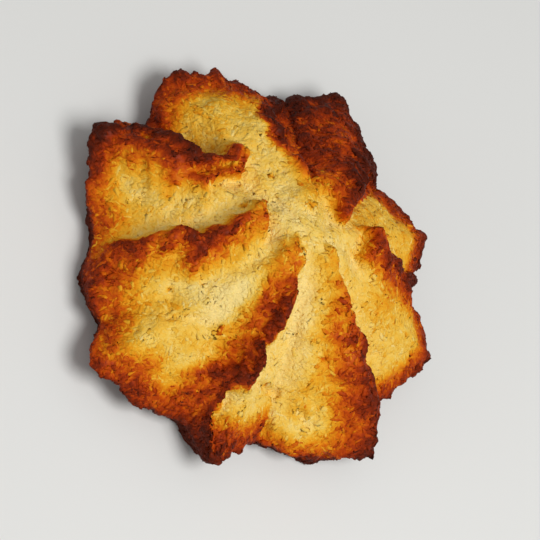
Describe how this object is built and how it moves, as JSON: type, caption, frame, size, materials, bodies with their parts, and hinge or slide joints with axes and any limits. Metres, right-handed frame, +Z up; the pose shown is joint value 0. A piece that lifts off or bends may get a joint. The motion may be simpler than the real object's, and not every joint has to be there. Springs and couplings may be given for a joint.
{
  "type": "coconut macaroon",
  "caption": "Baked coconut macaroon: a piped star-nozzle rosette with twisted, jagged folds on a flat round base, a whole biscuit to lay on a plate, tray or cake stand.",
  "frame": {"origin": "centre of the bounding box in plan, on the plane the flat base rests on", "axes": "+Z up through the top of the swirl; the side that the picture shows faces -Y; +X to the right of that side"},
  "size_m": [0.0766, 0.0754, 0.0263],
  "materials": {
    "baked_dough": "matt baked coconut crumb, pale yellow on the broad faces, golden to dark brown on crests, rim and base"
  },
  "bodies": {
    "root": {"macaroon": "baked_dough"}
  },
  "joints": []
}
